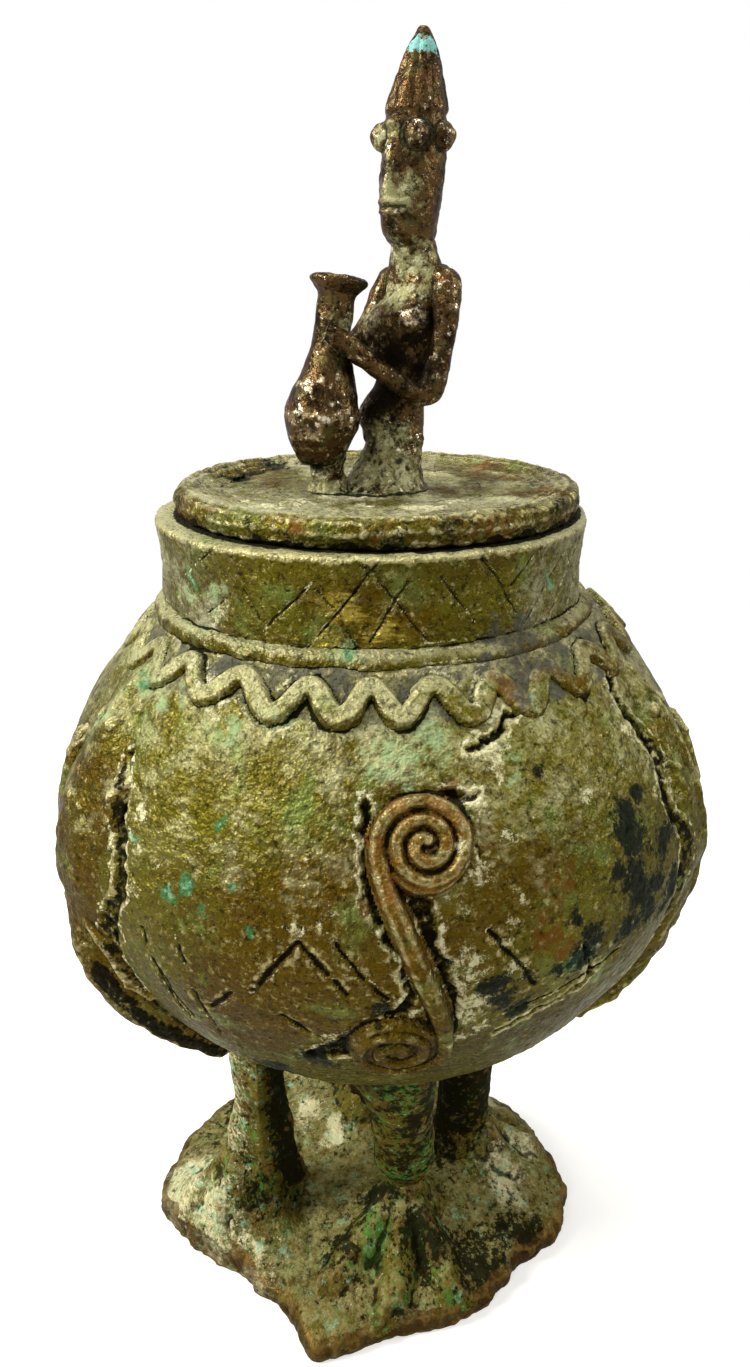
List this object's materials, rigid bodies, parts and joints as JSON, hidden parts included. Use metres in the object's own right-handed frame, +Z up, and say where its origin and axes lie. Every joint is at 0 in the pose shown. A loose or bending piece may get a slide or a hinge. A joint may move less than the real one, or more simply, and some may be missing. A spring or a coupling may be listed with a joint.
{
  "type": "lidded container",
  "caption": "Squat globular bronze container on toed legs and a ragged foot plate, with raised ornament and a lift-off lid whose knob is a half figure holding a jar.",
  "frame": {"origin": "on the resting plane, under the axis of the globe", "axes": "+Z up along the axis of the globe, -Y towards the side of the front scroll"},
  "size_m": [0.172, 0.1775, 0.3385],
  "materials": {
    "olive_bronze": "cast, olive-brown patina with green and cream crust in the hollows",
    "crusted_bronze": "cast, grey-green crust over brown patina",
    "brown_bronze": "cast, handled brown patina with a dull shine"
  },
  "bodies": {
    "vessel": {"base_plate": "crusted_bronze", "front_foot": "crusted_bronze", "front_leg": "crusted_bronze", "right_foot": "crusted_bronze", "right_leg": "crusted_bronze", "back_foot": "crusted_bronze", "back_leg": "crusted_bronze", "left_foot": "crusted_bronze", "left_leg": "crusted_bronze", "pot_globe": "olive_bronze", "pot_neck": "olive_bronze", "neck_roll": "olive_bronze", "wavy_coil": "olive_bronze", "front_scroll": "olive_bronze", "right_rear_scroll": "olive_bronze", "left_rear_scroll": "olive_bronze", "right_lizard": "olive_bronze", "rear_lizard": "olive_bronze", "left_lizard": "olive_bronze"},
    "lid": {"lid_plate": "olive_bronze", "lid_rim": "olive_bronze", "lid_ring": "olive_bronze", "figure_mound": "brown_bronze", "figure_torso": "brown_bronze", "figure_head": "brown_bronze", "figure_left_arm": "brown_bronze", "figure_right_arm": "brown_bronze", "held_jar": "brown_bronze", "jar_lump": "brown_bronze"}
  },
  "joints": [
    {"name": "lid_lift", "type": "slide", "parent": "vessel", "child": "lid", "axis": [0, 0, 1], "range_m": [0, 0.12]}
  ]
}
